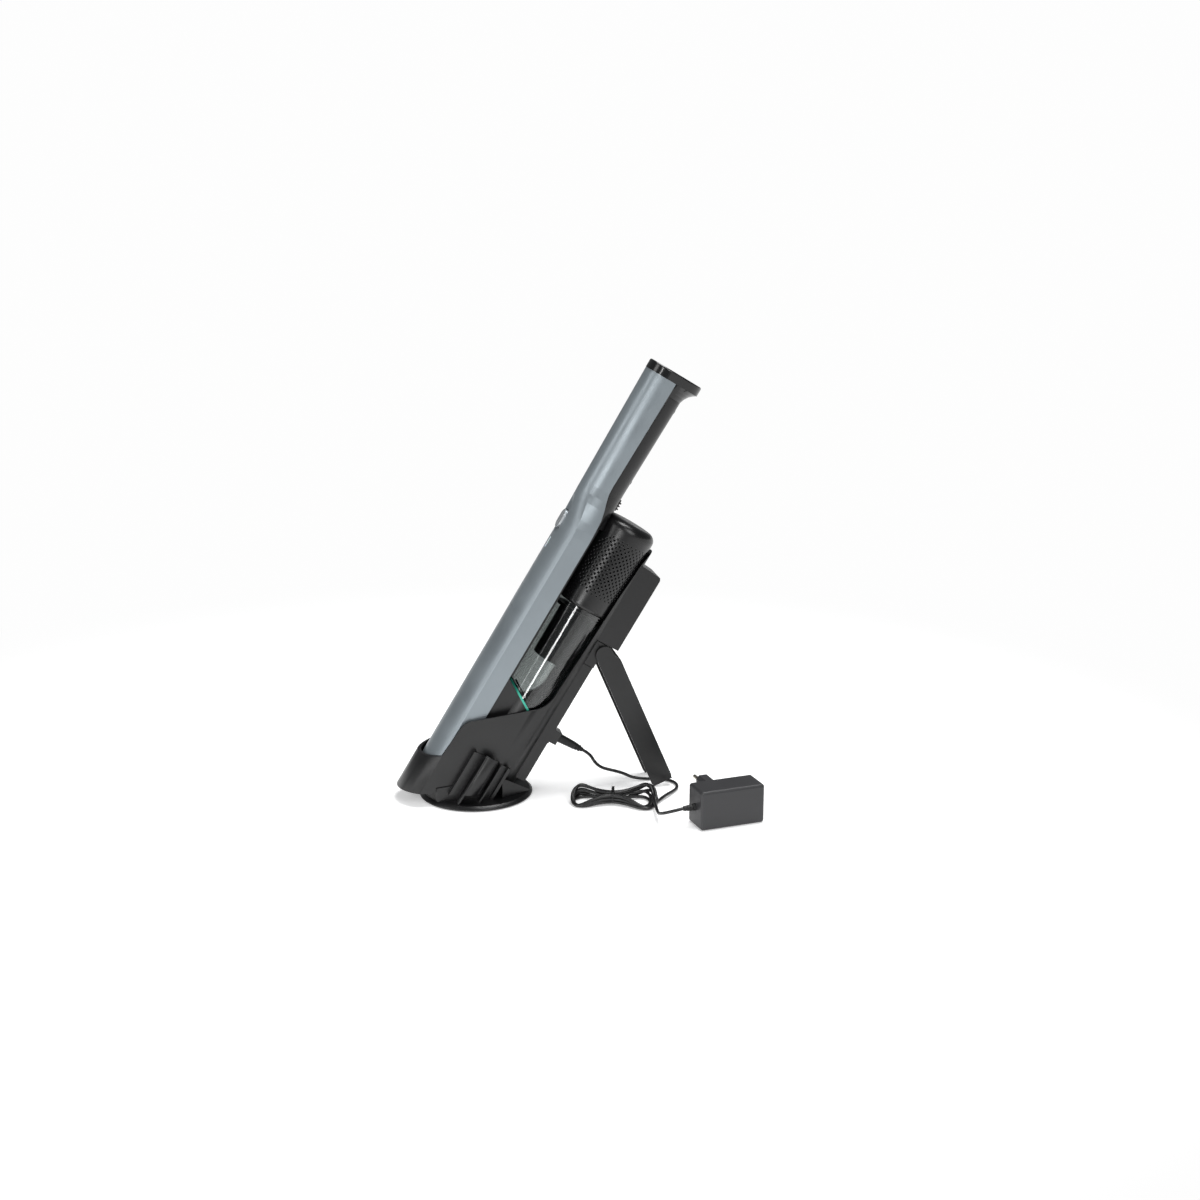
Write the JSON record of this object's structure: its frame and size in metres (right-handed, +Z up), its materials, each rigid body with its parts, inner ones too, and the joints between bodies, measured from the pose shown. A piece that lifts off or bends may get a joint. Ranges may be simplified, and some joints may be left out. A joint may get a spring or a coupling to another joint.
{
  "type": "handheld vacuum",
  "caption": "Cordless handheld vacuum leaning on its charging stand, with a fold-out leg, tool posts, tied lead and plug-in mains adapter.",
  "frame": {"origin": "centre of the round base disc's rubber sheet, on the floor", "axes": "+X from the nose towards the fold-out leg, +Y across the stand towards the side away from the tied lead, +Z up"},
  "size_m": [0.3457, 0.2067, 0.4381],
  "materials": {
    "shell_paint": "satin metallic paint",
    "black_plastic": "satin",
    "gloss_black": "gloss",
    "trim_grey": "satin",
    "silver_plastic": "satin",
    "lens": "gloss",
    "smoked_clear": "clear",
    "seal_rubber": "matt",
    "black_rubber": "matt",
    "filter_fabric": "matt",
    "foam": "matt",
    "steel": "satin",
    "screw_steel": "satin",
    "magnet_can": "satin",
    "brass_contact": "polished",
    "nickel": "polished",
    "cell_sleeve": "satin",
    "board": "satin",
    "adapter_plastic": "satin",
    "winding": "satin"
  },
  "bodies": {
    "stand": {"base_disc": "black_plastic", "base_pad": "black_rubber", "cradle": "black_plastic", "tool_post_near": "black_plastic", "tool_post_far": "black_plastic", "spine_cover": "black_plastic", "hinge_block": "black_plastic", "leg_pin": "steel", "stand_head": "black_plastic", "stand_screws": "screw_steel", "contact_board": "board", "contact_pins": "brass_contact", "dc_jack": "black_plastic", "jack_pin": "nickel", "plug_barrel": "nickel", "plug_body": "black_rubber", "cord_plug_run": "black_rubber", "cord_hank": "black_rubber", "hank_tie": "black_plastic", "cord_adapter_run": "black_rubber", "strain_relief": "black_rubber", "adapter_front": "adapter_plastic", "adapter_back": "adapter_plastic", "adapter_board": "board", "transformer": "winding", "mains_plug": "adapter_plastic", "mains_pins": "nickel"},
    "vacuum": {"upper_shell": "shell_paint", "top_panel": "trim_grey", "indicator_lens": "lens", "lower_chassis": "black_plastic", "handle_grip": "black_plastic", "grip_screws": "screw_steel", "end_cap": "gloss_black", "battery_cells": "cell_sleeve", "battery_bands": "black_plastic", "battery_strips": "nickel", "control_board": "board", "power_switch": "black_plastic", "motor_housing": "black_plastic", "charge_contacts": "brass_contact", "motor_can": "magnet_can", "motor_mount": "black_plastic", "motor_bearings": "steel", "motor_end_plates": "magnet_can", "fan_shroud": "black_plastic", "exhaust_filter": "foam", "dust_cup": "smoked_clear", "cup_collar": "gloss_black", "cup_seal": "seal_rubber", "filter_frame": "black_plastic", "pleated_filter": "filter_fabric", "nose_duct": "black_plastic"},
    "power_button": {"power_button": "silver_plastic"},
    "cup_release": {"cup_release": "black_plastic"},
    "rotor": {"motor_rotor": "steel", "impeller": "black_plastic"},
    "inlet_flap": {"inlet_flap": "black_rubber"},
    "leg": {"kickstand_leg": "black_plastic", "foot_pads": "black_rubber"}
  },
  "joints": [
    {"name": "vacuum_lift", "type": "slide", "parent": "stand", "child": "vacuum", "axis": [0.5195, 0, 0.8545], "range_m": [0, 0.17]},
    {"name": "leg_fold", "type": "hinge", "parent": "stand", "child": "leg", "pos_m": [0.12995, 0, 0.14412], "axis": [0, 1, 0], "range_deg": [0, 54]},
    {"name": "power_button_press", "type": "slide", "parent": "vacuum", "child": "power_button", "axis": [0.8545, 0, -0.5195], "range_m": [0, 0.0012], "stiffness_N_per_m": 600},
    {"name": "cup_release_slide", "type": "slide", "parent": "vacuum", "child": "cup_release", "axis": [0.5195, 0, 0.8545], "range_m": [0, 0.003], "stiffness_N_per_m": 300, "springref_m": -0.001},
    {"name": "motor_spin", "type": "hinge", "parent": "vacuum", "child": "rotor", "pos_m": [0.00426, 0, 0.01515], "axis": [0.5195, 0, 0.8545], "continuous": true},
    {"name": "inlet_flap_swing", "type": "hinge", "parent": "vacuum", "child": "inlet_flap", "pos_m": [0.04364, 0, 0.11536], "axis": [0, -1, 0], "range_deg": [0, 55], "stiffness_Nm_per_rad": 0.002}
  ]
}
